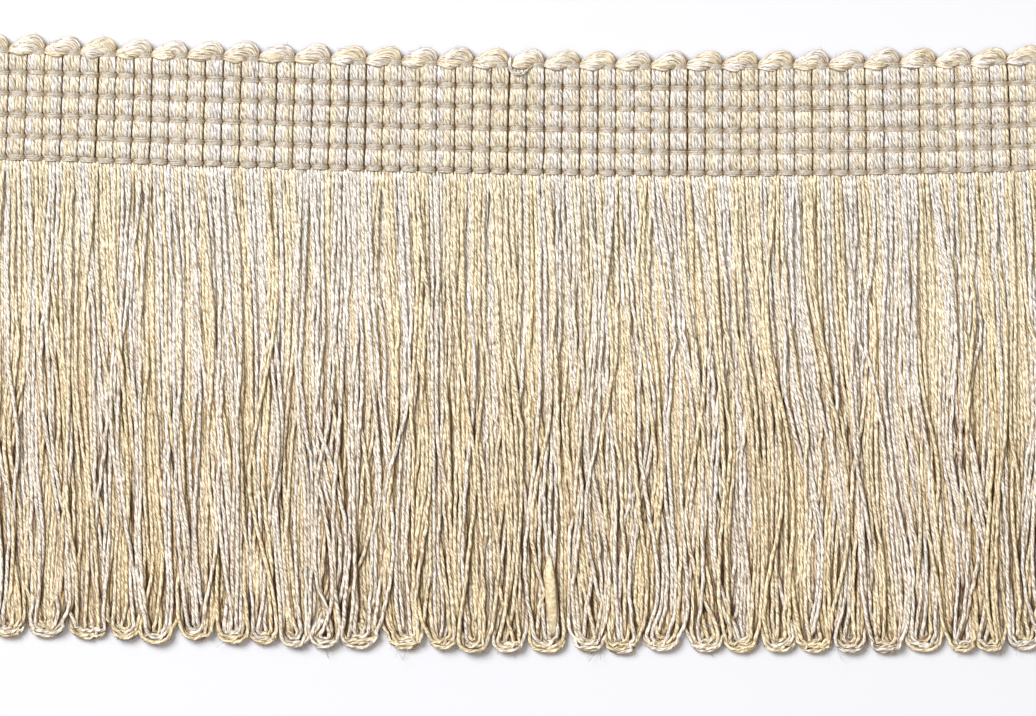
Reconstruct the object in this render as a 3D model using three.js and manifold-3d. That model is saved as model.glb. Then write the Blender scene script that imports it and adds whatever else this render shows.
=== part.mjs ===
// A cut length of loop fringe trim, lying face up: a woven heading with a scalloped upper edge,
// and a fringe of long yarn loops that starts at the heading's lower edge.
// Sizes are in millimetres. X runs along the trim, Y up its drop and Z out of its face.
// The origin is the middle of the heading's back, and the back lies in the plane Z = 0.

import * as THREE from 'three';
import { mergeVertices } from 'three/addons/utils/BufferGeometryUtils.js';
import Module from 'manifold-3d';

// Driving sizes of the heading. A column is one bundle of weft yarns, and a band is one group of
// warp threads that binds every column.
const COLUMN_PITCH = 3.0;
const COLUMN_COUNT = 62;
const ROW_PITCH = 3.56;
const BLOCK_ROWS = 5;
const BAND_HEIGHT = 1.16;
const BLOCK_TOP = 2.2;
const BAND_TOP = 1.75;
const GROOVE_TOP = 1.25;
const BLOCK_SHOULDER_ALONG = 0.42;
const BLOCK_SHOULDER_ACROSS = 0.36;
const BAND_SHOULDER_ALONG = 0.4;

// Scallops: the weft turns from one column to the next in a leaning arc above the top band.
const SCALLOP_RISE = 2.35;
const SCALLOP_VALLEY = 0.5;
const SCALLOP_STEPS = 6;
const SCALLOP_TOP = 2.0;
const SCALLOP_LEAN = 0.12;
const SCALLOP_CROWN = [
  { share: 0.32, up: 0.95 },
  { share: 0.78, up: 1.25 },
];

// The trim doesn't lie quite straight: its long edges follow this cubic of the distance along it.
const BOW_TILT = -0.0163;
const BOW_SAG = 2.12e-4;
const BOW_SKEW = 8.5e-7;

// Driving sizes of the fringe. A lock is a pair of yarns, one lying on the other.
const FRINGE_DROP = 80.1;
const ROOT_STRIP_GAP = 0.3;
const ROOT_STRIP_HEIGHT = 1.3;
const ROOT_STRIP_THICKNESS = 1.75;
const LOCK_PITCH = 1.0;
const LOCKS_PER_COLUMN = 3;
const LOCK_FOOT_WIDTH = 0.66;
const LOCK_RIDGE_WIDTH = 0.4;
const LOCK_TOP = 1.95;
const LOCK_TOP_WAVE = { spread: 0.2, short: 2.4, long: 0.7 };
const ROOT_FOOT = 0.12;
const ROOT_TOP = 1.55;
const ARC_FLATNESS = 0.78;
const LEG_STATIONS = [0, 0.34, 0.68];
const ARC_STEPS = [6, 4, 4];
const SWAYS = [
  { reach: 0.5, wavelength: 26, drift: 3.0, phase: 0.4 },
  { reach: 0.35, wavelength: 61, drift: -5.0, phase: 1.2 },
];

// The fringe's loops from left to right. Each joins two neighbouring columns.
// lean: how far the loop's end lies to the right of its root. drop: how much lower it ends.
const LOOPS = [
  { lean: 0.1, drop: 0.0, width: 5.2 },
  { lean: 0.5, drop: -0.2, width: 5.8 },
  { lean: 1.6, drop: 0.0, width: 6.0 },
  { lean: 1.7, drop: -0.2, width: 4.3 },
  { lean: 0.8, drop: 0.3, width: 5.0 },
  { lean: 1.6, drop: -0.5, width: 5.2 },
  { lean: 1.8, drop: -0.1, width: 5.2 },
  { lean: 1.0, drop: -0.2, width: 4.7 },
  { lean: 0.2, drop: 0.1, width: 4.8 },
  { lean: -0.8, drop: 0.1, width: 4.4 },
  { lean: -0.9, drop: 0.1, width: 6.3 },
  { lean: 0.7, drop: 0.0, width: 5.7 },
  { lean: 1.1, drop: -0.2, width: 4.6 },
  { lean: 0.1, drop: 0.3, width: 5.0 },
  { lean: 0.0, drop: 0.2, width: 5.1 },
  { lean: 0.5, drop: 0.1, width: 6.2 },
  { lean: 1.6, drop: -0.1, width: 4.8 },
  { lean: 1.0, drop: 0.1, width: 5.3 },
  { lean: 1.7, drop: -0.4, width: 5.7 },
  { lean: 3.2, drop: -0.2, width: 5.2 },
  { lean: 3.1, drop: -0.2, width: 5.5 },
  { lean: 3.5, drop: -0.2, width: 5.2 },
  { lean: 3.4, drop: -0.1, width: 5.7 },
  { lean: 3.4, drop: 0.0, width: 5.2 },
  { lean: 3.3, drop: 0.2, width: 5.3 },
  { lean: 3.7, drop: 0.0, width: 6.2 },
  { lean: 4.2, drop: 0.2, width: 4.4 },
  { lean: 3.0, drop: 0.3, width: 4.4 },
  { lean: 2.7, drop: 0.2, width: 5.2 },
  { lean: 2.9, drop: 0.0, width: 5.2 },
];
const CUT_END_DROP = -0.6;

const LENGTH = COLUMN_PITCH * COLUMN_COUNT;
const HEADING_HEIGHT = ROW_PITCH * BLOCK_ROWS + BAND_HEIGHT;
const HEADING_BOTTOM = -HEADING_HEIGHT / 2;
const SCALLOP_WIDTH = 2 * COLUMN_PITCH;

const wasm = await Module();
wasm.setup();

// How far the trim's long edges rise at a distance along it, and how steeply.
function bowRise(along) {
  return BOW_TILT * along + BOW_SAG * along ** 2 + BOW_SKEW * along ** 3;
}

function bowSlope(along) {
  return BOW_TILT + 2 * BOW_SAG * along + 3 * BOW_SKEW * along ** 2;
}

// A point of the trim from its distance along it, its distance up it and its height.
function onTrim(along, up, height) {
  return new THREE.Vector3(along - bowSlope(along) * up, bowRise(along) + up, height);
}

// Collects triangles, each given by three points, and turns them into a geometry.
class Skin {
  points = [];

  triangle(a, b, c) {
    this.points.push(a, b, c);
  }

  // A flat polygon as a fan round its first corner.
  fan(corners) {
    for (let i = 1; i + 1 < corners.length; i += 1) {
      this.triangle(corners[0], corners[i], corners[i + 1]);
    }
  }

  quad(a, b, c, d) {
    this.fan([a, b, c, d]);
  }

  geometry() {
    const made = new THREE.BufferGeometry().setFromPoints(this.points);
    const merged = mergeVertices(made, 1e-4);
    merged.computeVertexNormals();
    return merged;
  }
}

// A block of the heading: a pillow with a flat crown, its four sides sloping to the grooves.
function addBlock(skin, left, right, bottom, top) {
  const corner = (along, up) => onTrim(along, up, GROOVE_TOP);
  const crown = (along, up) => onTrim(along, up, BLOCK_TOP);
  const low = [corner(left, bottom), corner(right, bottom), corner(right, top), corner(left, top)];
  const inLeft = left + BLOCK_SHOULDER_ALONG;
  const inRight = right - BLOCK_SHOULDER_ALONG;
  const inBottom = bottom + BLOCK_SHOULDER_ACROSS;
  const inTop = top - BLOCK_SHOULDER_ACROSS;
  const high = [
    crown(inLeft, inBottom), crown(inRight, inBottom), crown(inRight, inTop), crown(inLeft, inTop),
  ];
  for (let i = 0; i < 4; i += 1) {
    const next = (i + 1) % 4;
    skin.quad(low[i], low[next], high[next], high[i]);
  }
  skin.fan(high);
}

// Where a band's warp threads pass over a column: a hipped ridge, lower than the blocks.
function addFloat(skin, left, right, bottom, top) {
  const corner = (along, up) => onTrim(along, up, GROOVE_TOP);
  const middle = (bottom + top) / 2;
  const ridgeLeft = onTrim(left + BAND_SHOULDER_ALONG, middle, BAND_TOP);
  const ridgeRight = onTrim(right - BAND_SHOULDER_ALONG, middle, BAND_TOP);
  skin.quad(corner(left, bottom), corner(right, bottom), ridgeRight, ridgeLeft);
  skin.quad(corner(right, top), corner(left, top), ridgeLeft, ridgeRight);
  skin.triangle(corner(left, top), corner(left, bottom), ridgeLeft);
  skin.triangle(corner(right, bottom), corner(right, top), ridgeRight);
}

// A point of the scalloped edge, from 0 to 1 across one scallop. The arc leans to the right.
function scallopPoint(left, share, height) {
  const leaned = share + SCALLOP_LEAN * Math.sin(Math.PI * share);
  const rise = SCALLOP_VALLEY + (SCALLOP_RISE - SCALLOP_VALLEY) * Math.sin(Math.PI * share);
  return onTrim(left + SCALLOP_WIDTH * leaned, -HEADING_BOTTOM + rise, height);
}

// The dome of one scallop, from the top band up to the scalloped edge.
function addScallop(skin, left) {
  const foot = (columns) => onTrim(left + columns * COLUMN_PITCH, -HEADING_BOTTOM, GROOVE_TOP);
  const rim = [];
  for (let i = 0; i <= SCALLOP_STEPS; i += 1) {
    rim.push(scallopPoint(left, i / SCALLOP_STEPS, GROOVE_TOP));
  }
  const [crownLeft, crownRight] = SCALLOP_CROWN.map(({ share, up }) => (
    onTrim(left + share * SCALLOP_WIDTH, -HEADING_BOTTOM + up, SCALLOP_TOP)
  ));
  const half = SCALLOP_STEPS / 2;
  skin.triangle(foot(0), crownLeft, rim[0]);
  skin.triangle(foot(0), foot(1), crownLeft);
  skin.triangle(foot(1), crownRight, crownLeft);
  skin.triangle(foot(1), foot(2), crownRight);
  skin.triangle(foot(2), rim[SCALLOP_STEPS], crownRight);
  for (let i = 0; i < SCALLOP_STEPS; i += 1) {
    skin.triangle(i < half ? crownLeft : crownRight, rim[i + 1], rim[i]);
  }
  skin.triangle(crownLeft, crownRight, rim[half]);
}

// The walls and the flat back under one scallop's two columns.
function addBackAndWalls(skin, left) {
  const right = left + SCALLOP_WIDTH;
  const foot = [left, left + COLUMN_PITCH, right];
  const rim = [];
  for (let i = 0; i <= SCALLOP_STEPS; i += 1) {
    rim.push(i / SCALLOP_STEPS);
  }
  for (let i = 0; i < SCALLOP_STEPS; i += 1) {
    skin.quad(
      scallopPoint(left, rim[i + 1], 0), scallopPoint(left, rim[i], 0),
      scallopPoint(left, rim[i], GROOVE_TOP), scallopPoint(left, rim[i + 1], GROOVE_TOP),
    );
  }
  for (let i = 0; i < 2; i += 1) {
    skin.quad(
      onTrim(foot[i], HEADING_BOTTOM, 0), onTrim(foot[i + 1], HEADING_BOTTOM, 0),
      onTrim(foot[i + 1], HEADING_BOTTOM, GROOVE_TOP), onTrim(foot[i], HEADING_BOTTOM, GROOVE_TOP),
    );
  }
  const half = SCALLOP_STEPS / 2;
  skin.fan([
    onTrim(foot[0], HEADING_BOTTOM, 0),
    ...rim.slice(0, half + 1).map((share) => scallopPoint(left, share, 0)),
    onTrim(foot[1], HEADING_BOTTOM, 0),
  ]);
  skin.fan([
    onTrim(foot[2], HEADING_BOTTOM, 0),
    onTrim(foot[1], HEADING_BOTTOM, 0),
    ...rim.slice(half).map((share) => scallopPoint(left, share, 0)),
  ]);
}

// The distances up the heading at which a band or a block starts, from the lower edge.
function heightsUp() {
  const heights = [HEADING_BOTTOM];
  for (let row = 0; row <= BLOCK_ROWS; row += 1) {
    heights.push(HEADING_BOTTOM + row * ROW_PITCH + BAND_HEIGHT);
    if (row < BLOCK_ROWS) {
      heights.push(HEADING_BOTTOM + (row + 1) * ROW_PITCH);
    }
  }
  return heights;
}

// The plain wall where the heading was cut, at one end of the trim.
function addCutEnd(skin, along, facesRight) {
  const edge = heightsUp().map((up) => onTrim(along, up, GROOVE_TOP));
  const topShare = facesRight ? 1 : 0;
  const scallopLeft = facesRight ? along - SCALLOP_WIDTH : along;
  edge.push(scallopPoint(scallopLeft, topShare, GROOVE_TOP));
  const loop = [onTrim(along, HEADING_BOTTOM, 0), scallopPoint(scallopLeft, topShare, 0)];
  const corners = [...loop, ...edge.reverse()];
  skin.fan(facesRight ? corners : [corners[0], ...corners.slice(1).reverse()]);
}

function headingGeometry() {
  const skin = new Skin();
  const up = heightsUp();
  for (let column = 0; column < COLUMN_COUNT; column += 1) {
    const left = -LENGTH / 2 + column * COLUMN_PITCH;
    for (let i = 0; i + 1 < up.length; i += 1) {
      const add = i % 2 === 0 ? addFloat : addBlock;
      add(skin, left, left + COLUMN_PITCH, up[i], up[i + 1]);
    }
    if (column % 2 === 0) {
      addScallop(skin, left);
      addBackAndWalls(skin, left);
    }
  }
  addCutEnd(skin, -LENGTH / 2, false);
  addCutEnd(skin, LENGTH / 2, true);
  return skin.geometry();
}

// A bar swept along a path in the XY plane. Each station gives its foot and its top height.
function sweptBar(stations, footWidth, topWidth) {
  const skin = new Skin();
  const rings = stations.map((station, i) => {
    const before = stations[Math.max(i - 1, 0)].at;
    const after = stations[Math.min(i + 1, stations.length - 1)].at;
    const way = after.clone().sub(before).normalize();
    const side = new THREE.Vector2(-way.y, way.x);
    const corner = (offset, height) => new THREE.Vector3(
      station.at.x + side.x * offset, station.at.y + side.y * offset, height,
    );
    return [
      corner(-footWidth / 2, station.foot), corner(footWidth / 2, station.foot),
      corner(topWidth / 2, station.top), corner(-topWidth / 2, station.top),
    ];
  });
  for (let i = 0; i + 1 < rings.length; i += 1) {
    for (let j = 0; j < 4; j += 1) {
      const next = (j + 1) % 4;
      skin.quad(rings[i][next], rings[i + 1][next], rings[i + 1][j], rings[i][j]);
    }
  }
  skin.fan(rings[0].slice().reverse());
  skin.fan(rings[rings.length - 1]);
  return skin.geometry();
}

// The fringe's common sideways sway at a share of its drop. It is still at both ends.
function sway(along, share) {
  const held = Math.sin(Math.PI * share);
  let moved = 0;
  for (const { reach, wavelength, drift, phase } of SWAYS) {
    moved += held * reach * Math.sin((2 * Math.PI * along) / wavelength + drift * share + phase);
  }
  return moved;
}

// The height of a lock's ridge, which varies from lock to lock.
function lockTop(number) {
  const { spread, short, long } = LOCK_TOP_WAVE;
  return LOCK_TOP + spread * Math.sin(short * number) * Math.cos(long * number);
}

// The stations of one leg, from its root in the strip down to where the loop's arc starts.
function legStations(rootAlong, end, top) {
  const rootUp = HEADING_BOTTOM - ROOT_STRIP_GAP - ROOT_STRIP_HEIGHT / 2;
  const root = onTrim(rootAlong, rootUp, 0);
  return LEG_STATIONS.map((share) => {
    const x = THREE.MathUtils.lerp(root.x, end.x, share) + sway(rootAlong, share);
    const y = THREE.MathUtils.lerp(root.y, end.y, share);
    const atRoot = share === 0;
    return {
      at: new THREE.Vector2(x, y), foot: atRoot ? ROOT_FOOT : 0, top: atRoot ? ROOT_TOP : top,
    };
  });
}

// A lock that runs down from one column, turns in an arc and runs up into the next column.
function loopLock(loop, rootAlong, nest, number) {
  const { lean, drop, width } = loop;
  const rootOffset = (LOCKS_PER_COLUMN - nest - 0.5) * LOCK_PITCH;
  const innermost = LOCK_PITCH / 2;
  const outermost = (width - LOCK_FOOT_WIDTH) / 2;
  const outward = (LOCKS_PER_COLUMN - 1 - nest) / (LOCKS_PER_COLUMN - 1);
  const halfWidth = THREE.MathUtils.lerp(innermost, outermost, outward);
  const lowest = bowRise(rootAlong) + HEADING_BOTTOM - FRINGE_DROP - drop + LOCK_FOOT_WIDTH / 2;
  const arcHeight = ARC_FLATNESS * halfWidth;
  const centre = new THREE.Vector2(
    rootAlong + lean, lowest + nest * LOCK_PITCH * ARC_FLATNESS + arcHeight,
  );
  const top = lockTop(number);
  const leg = (side) => legStations(
    rootAlong + side * rootOffset,
    new THREE.Vector2(centre.x + side * halfWidth, centre.y),
    top,
  );
  const arc = [];
  for (let i = 0; i <= ARC_STEPS[nest]; i += 1) {
    const angle = Math.PI * (1 + i / ARC_STEPS[nest]);
    const at = new THREE.Vector2(halfWidth * Math.cos(angle), arcHeight * Math.sin(angle));
    arc.push({ at: at.add(centre), foot: 0, top });
  }
  return sweptBar([...leg(-1), ...arc, ...leg(1).reverse()], LOCK_FOOT_WIDTH, LOCK_RIDGE_WIDTH);
}

// A lock of the first or last column, whose loop was cut with the trim: one straight leg.
function cutLock(rootAlong, lean, number) {
  const lowest = bowRise(rootAlong) + HEADING_BOTTOM - FRINGE_DROP - CUT_END_DROP;
  const end = new THREE.Vector2(rootAlong + lean, lowest);
  const top = lockTop(number);
  const stations = [...legStations(rootAlong, end, top), { at: end, foot: 0, top }];
  return sweptBar(stations, LOCK_FOOT_WIDTH, LOCK_RIDGE_WIDTH);
}

// The narrow strip that stands for the yarns' roots, just below the heading's last band.
function rootStrip() {
  const stations = [];
  for (let i = 0; i <= COLUMN_COUNT / 2; i += 1) {
    const along = -LENGTH / 2 + i * SCALLOP_WIDTH;
    const at = onTrim(along, HEADING_BOTTOM - ROOT_STRIP_GAP - ROOT_STRIP_HEIGHT / 2, 0);
    stations.push({ at: new THREE.Vector2(at.x, at.y), foot: 0, top: ROOT_STRIP_THICKNESS });
  }
  return sweptBar(stations, ROOT_STRIP_HEIGHT, ROOT_STRIP_HEIGHT);
}

// A closed geometry as a solid, from its positions alone.
function solidOf(geometry) {
  const bare = geometry.clone();
  bare.deleteAttribute('normal');
  const merged = mergeVertices(bare);
  return new wasm.Manifold(new wasm.Mesh({
    numProp: 3,
    vertProperties: merged.attributes.position.array,
    triVerts: new Uint32Array(merged.index.array),
  }));
}

// Joins closed geometries into one solid's geometry.
function joined(geometries) {
  const solids = geometries.map(solidOf);
  const whole = solids.reduce((sum, solid) => sum.add(solid)).getMesh();
  const made = new THREE.BufferGeometry();
  made.setAttribute('position', new THREE.BufferAttribute(whole.vertProperties, 3));
  made.setIndex(new THREE.BufferAttribute(whole.triVerts, 1));
  made.computeVertexNormals();
  return made;
}

function fringeGeometry() {
  const pieces = [rootStrip()];
  const firstLoop = -LENGTH / 2 + 2 * COLUMN_PITCH;
  LOOPS.forEach((loop, i) => {
    for (let nest = 0; nest < LOCKS_PER_COLUMN; nest += 1) {
      pieces.push(loopLock(loop, firstLoop + i * SCALLOP_WIDTH, nest, i * LOCKS_PER_COLUMN + nest));
    }
  });
  const ends = [
    { along: -(LENGTH - COLUMN_PITCH) / 2, lean: LOOPS[0].lean },
    { along: (LENGTH - COLUMN_PITCH) / 2, lean: LOOPS[LOOPS.length - 1].lean },
  ];
  for (const { along, lean } of ends) {
    for (let i = 0; i < LOCKS_PER_COLUMN; i += 1) {
      const offset = (i - (LOCKS_PER_COLUMN - 1) / 2) * LOCK_PITCH;
      pieces.push(cutLock(along + offset, lean, i));
    }
  }
  return joined(pieces);
}

// Yarn and thread are matt textiles, told apart by colour.
function part(name, geometry, colour) {
  const material = new THREE.MeshStandardMaterial({ color: colour, roughness: 0.7, metalness: 0 });
  const mesh = new THREE.Mesh(geometry, material);
  mesh.name = name;
  return mesh;
}

const trim = new THREE.Group();
trim.add(part('heading', headingGeometry(), 0xd8ccb4));
trim.add(part('fringe', fringeGeometry(), 0xd9c9a6));

export default trim;
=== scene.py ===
"""The looks of a cut length of loop fringe trim that lies face up on a pale floor.

Every yarn is a tube of its own: the weft bundles of the heading, their scallops, the warp threads
that bind them, and the long loops of the fringe, which are settled on one another before they are
drawn. Sizes are in millimetres until a mesh is made, and X, Y and Z are those of the CAD model.
"""

import math

import bpy
import numpy as np
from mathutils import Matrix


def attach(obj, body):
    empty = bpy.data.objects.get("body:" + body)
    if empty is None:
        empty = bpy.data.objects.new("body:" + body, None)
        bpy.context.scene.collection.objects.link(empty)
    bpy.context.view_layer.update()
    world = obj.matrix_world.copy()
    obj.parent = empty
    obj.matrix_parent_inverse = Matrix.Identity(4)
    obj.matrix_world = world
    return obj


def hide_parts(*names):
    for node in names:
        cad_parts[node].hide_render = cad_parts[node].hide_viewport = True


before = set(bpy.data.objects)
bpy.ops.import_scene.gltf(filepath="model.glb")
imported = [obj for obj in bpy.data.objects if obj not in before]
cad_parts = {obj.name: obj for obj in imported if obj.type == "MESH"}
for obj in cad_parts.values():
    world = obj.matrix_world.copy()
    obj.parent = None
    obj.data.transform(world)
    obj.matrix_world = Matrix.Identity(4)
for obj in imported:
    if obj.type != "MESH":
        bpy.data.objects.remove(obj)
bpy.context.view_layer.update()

MM = 0.001

# The heading: its columns are bundles of weft yarns, and its bands are groups of warp threads.
COLUMN_PITCH = 3.0
COLUMNS = 62
ROW_PITCH = 3.56
BLOCK_ROWS = 5
BAND_HEIGHT = 1.16
LENGTH = COLUMN_PITCH * COLUMNS
HEADING_HEIGHT = ROW_PITCH * BLOCK_ROWS + BAND_HEIGHT
HEADING_TOP = HEADING_HEIGHT / 2
HEADING_BOTTOM = -HEADING_TOP

# The bow of the trim's long edges: a cubic of the distance along it.
BOW_TILT = -0.0163
BOW_SAG = 2.12e-4
BOW_SKEW = 8.5e-7

# One bundle: its yarns lie in the slots of a front row and a back row across a column.
FRONT_OFFSETS = (-1.09, -0.545, 0.0, 0.545, 1.09)
BACK_OFFSETS = (-0.99, -0.33, 0.33, 0.99)
FRONT_SLOTS = len(FRONT_OFFSETS)
SLOTS = FRONT_SLOTS + len(BACK_OFFSETS)

# The yarns' colours, and how gold and silver keep apart or mix.
IS_GOLD = np.arange(SLOTS) % 2 == 0
GOLD_WARMTHS = (0.65, 1.0)
SILVER_WARMTHS = (0.0, 0.35)
END_WARMTH = 0.08
MIRRORED_COLUMNS = 0.5
SIDE_PULL = 2.0
COLOUR_MIXING = 0.7
DEPTH_MIXING = 0.8
PATCH_COLUMNS = 4
PATCHINESS = 1.1
COLUMN_CHANCE = 0.4

# The blocks, where the front yarns puff up between the bands that press them down.
BLOCK_CREST = 1.8
BLOCK_EDGE_DIP = 0.1
BLOCK_RADIUS = 0.36
BLOCK_FLATNESS = 0.5
BAND_PINCH = 0.95
BAND_WIDTH = 0.92
BLOCK_WIDENING = 0.08
EDGE_WOBBLE = 0.06
RING_OFFSETS = (-1.5, -0.75, -0.45, 0.0, 0.45, 0.75, 1.5)
BACK_ROW_HEIGHT = 0.52
BACK_RADIUS = 0.4

# Added to a front yarn's painted shade: most are pressed together and get less, the outer two have a
# free side.
PRESSED_YARN_SHADE = -0.18
OPEN_SIDE_SHADE = -0.04

# The bands: threads across the front and the back of the bundles, and how far both arch.
BAND_SHIFT = 0.1
FRONT_THREADS = (-0.34, -0.17, 0.0, 0.17, 0.34)
BACK_THREADS = (-0.25, 0.25)
THREAD_RADIUS = 0.18
BACK_THREAD_RADIUS = 0.2
THREAD_PITCH = 1.4
THREADS_CROSS_AT = 0.8
FRONT_ARCH = 0.74
BACK_ARCH = -0.57

# The scallops, which join two columns each, and the one with a loose yarn.
SCALLOP_WIDTH = 2 * COLUMN_PITCH
SCALLOPS = COLUMNS // 2
SCALLOP_RISE = 2.35
SCALLOP_FOOT = -0.8
SCALLOP_PITCH = 11.0
LOOSE_SCALLOP = 15
LOOSE_PLIES = ((0.19, 0.0, 0.9, (0.0, 0.0, 0.0)), (0.16, 0.1, 0.6, (0.2, 0.28, 0.0)))

# The yarn: two twisted plies, tight by the heading and freer below it.
YARN_RADIUS = 0.345
YARN_FLATNESS = 0.8
TIGHT_RADIUS = 0.32
TIGHT_FLATNESS = 0.55
PLY_PITCH = 4.0
TIGHT_PITCH = 3.6
TWIST_WAVES = ((0.45, 6.7, 50), (0.1, 2.3, 20))
# How deep under other yarn the painted shade is full.
FULL_SHADE_DEPTH = 0.5

# The tubes that yarns are drawn as.
FINE_SPACING = 0.8
COARSE_SPACING = 1.4
SIDES = 6

# The map for baking: each yarn fills these shares of a lane of its own. LANE_CAP is for its ends.
LANE_MARGIN = 0.04
LANE_WIDTH = 0.92
LANE_HEIGHT = 0.998
LANE_CAP = (0.3, 0.0004)

# The fringe's loops from left to right. Each joins two neighbouring columns, and is given by how far
# its end lies to the right of its root, how much lower it ends, and its width.
LOOPS = (
    (0.1, 0.0, 5.2), (0.5, -0.2, 5.8), (1.6, 0.0, 6.0),
    (1.7, -0.2, 4.3), (0.8, 0.3, 5.0), (1.6, -0.5, 5.2),
    (1.8, -0.1, 5.2), (1.0, -0.2, 4.7), (0.2, 0.1, 4.8),
    (-0.8, 0.1, 4.4), (-0.9, 0.1, 6.3), (0.7, 0.0, 5.7),
    (1.1, -0.2, 4.6), (0.1, 0.3, 5.0), (0.0, 0.2, 5.1),
    (0.5, 0.1, 6.2), (1.6, -0.1, 4.8), (1.0, 0.1, 5.3),
    (1.7, -0.4, 5.7), (3.2, -0.2, 5.2), (3.1, -0.2, 5.5),
    (3.5, -0.2, 5.2), (3.4, -0.1, 5.7), (3.4, 0.0, 5.2),
    (3.3, 0.2, 5.3), (3.7, 0.0, 6.2), (4.2, 0.2, 4.4),
    (3.0, 0.3, 4.4), (2.7, 0.2, 5.2), (2.9, 0.0, 5.2),
)
FRINGE_DROP = 80.05
CUT_END_RISE = 0.6
CUT_END_CHANCE = 1.2
ARC_FLATNESS = 0.78
ARC_SQUARENESS = 0.88
LOOP_FULLNESS = 0.32
LOOP_GAP = 0.16
INNER_LEG = 0.32
INNER_WIDE_LEG = 0.25

# How the fringe's legs wander: all together in SWAYS (reach, wavelength, drift, phase), then each
# yarn and each group in waves, then some strays that cross their neighbours.
SWAYS = ((0.5, 26.0, 3.0, 0.4), (0.35, 61.0, -5.0, 1.2))
WANDER = (0.5, 0.45, 0.35, 0.25, 0.12)
GROUP_WANDER = (1.5, 1.1, 0.7)
STRAYS = 28
STRAY_REACH = (1.6, 4.6)
STRAY_SKEW = (1.5, 3.5)
STRAY_LIFT = 1.3
GATHERED_FROM = (0.965, 0.988)

# How the fringe's yarns settle.
LEG_STATIONS = 58
ARC_STATIONS = 11
NEIGHBOURS = range(1, 8)
SETTLE_STEPS = 260
STILL_STEPS = 40
SINKING = 0.02
SETTLE_WIDTH = 0.62
SETTLE_HEIGHT = 0.54
WIDEST_GAPS = (0.39, 0.56)
REST_HEIGHT = 0.33
BACK_ROOT_HEIGHT = 0.5
PUFFED_HEIGHTS = (1.6, 0.6)
STIFFNESS = 0.22
END_STIFFNESS = 0.85
LIFT_SMOOTHING = 0.3

# How the fringe's yarns hide one another, and the painted shade that yarn lying over another puts on
# it.
COVERS_WITHIN = 0.32
CLEAR_BEYOND = 0.78
OVER_SHARE = (0.2, 1.7)
TOP_SHADE_CUT = 0.17
ARC_OVER_SHARE = 0.7
HIDDEN_WITHIN = 0.34
HIDDEN_BELOW = 0.2
COARSE_BELOW = 0.5

# The thick place of one gold yarn.
SLUB_PLACE = (4.3, -80.0)
SLUB_LENGTH = 15.0
SLUB_RADIUS = 1.02
SLUB_END_RADIUS = 0.2
SLUB_FLATNESS = 0.36
SLUB_STRAIGHTNESS = 0.85
SLUB_LIFT = 0.95

# The loose fibres. Most of those on a line of many points lie near its middle, the loop's end.
FIBRES = 4200
MANY_POINTS = 100
AT_LOOP_ENDS = 0.7
FIBRE_RADII = (0.022, 0.037)

# The camera looks straight down, at the middle of the photograph's frame.
PHOTO_WIDTH = 1036
PHOTO_SCALE = 5.955
VIEW_CENTRE = (-1.38 * MM, -40.1 * MM)
CAMERA_HEIGHT = 1500.0
SENSOR_WIDTH = 36.0

random = np.random.default_rng(7)


def chance(spread, shape=None):
    return random.normal(0.0, spread, shape)


def bow_rise(along):
    return BOW_TILT * along + BOW_SAG * along**2 + BOW_SKEW * along**3


def bow_slope(along):
    return BOW_TILT + 2 * BOW_SAG * along + 3 * BOW_SKEW * along**2


def on_trim(along, up, height):
    """Points of the trim from the distance along it, the distance up it and the height."""
    along, up, height = np.broadcast_arrays(along, up, height)
    x = along - bow_slope(along) * up
    return np.stack([x, bow_rise(along) + up, height], axis=-1).astype(float)


def column_middle(column):
    return -LENGTH / 2 + COLUMN_PITCH * (column + 0.5)


def smooth_step(share):
    share = np.clip(share, 0.0, 1.0)
    return share * share * (3 - 2 * share)


def unit(vectors):
    return vectors / np.linalg.norm(vectors, axis=-1, keepdims=True)


def ranks(values):
    """Each value's place in the order of its row, from 0."""
    return np.argsort(np.argsort(values, axis=-1), axis=-1)


def distances_along(line):
    """How far each point of a line lies from its start, along it."""
    steps = np.linalg.norm(np.diff(line[:, :3], axis=0), axis=1)
    return np.concatenate([[0.0], np.cumsum(steps)])


def evenly_on_curve(points, spacing):
    """Evenly spaced points on a smooth curve through the given ones, with what else they carry."""
    reached = distances_along(points)
    count = max(4, round(reached[-1] / spacing) + 1)
    at = np.linspace(0.0, reached[-1], count)
    slope = np.gradient(points, reached, axis=0)
    left = np.clip(np.searchsorted(reached, at, side="right") - 1, 0, len(points) - 2)
    span = reached[left + 1] - reached[left]
    t = ((at - reached[left]) / span)[:, None]
    span = span[:, None]
    start, end = points[left], points[left + 1]
    leave, arrive = slope[left] * span, slope[left + 1] * span
    return (
        (2 * t**3 - 3 * t**2 + 1) * start
        + (t**3 - 2 * t**2 + t) * leave
        + (3 * t**2 - 2 * t**3) * end
        + (t**3 - t**2) * arrive
    )


def bezier(corners, count):
    """Points of a cubic through four corner points, each of any width."""
    t = np.linspace(0.0, 1.0, count)[:, None]
    a, b, c, d = (np.asarray(corner, float) for corner in corners)
    return (1 - t) ** 3 * a + 3 * (1 - t) ** 2 * t * b + 3 * (1 - t) * t**2 * c + t**3 * d


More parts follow.
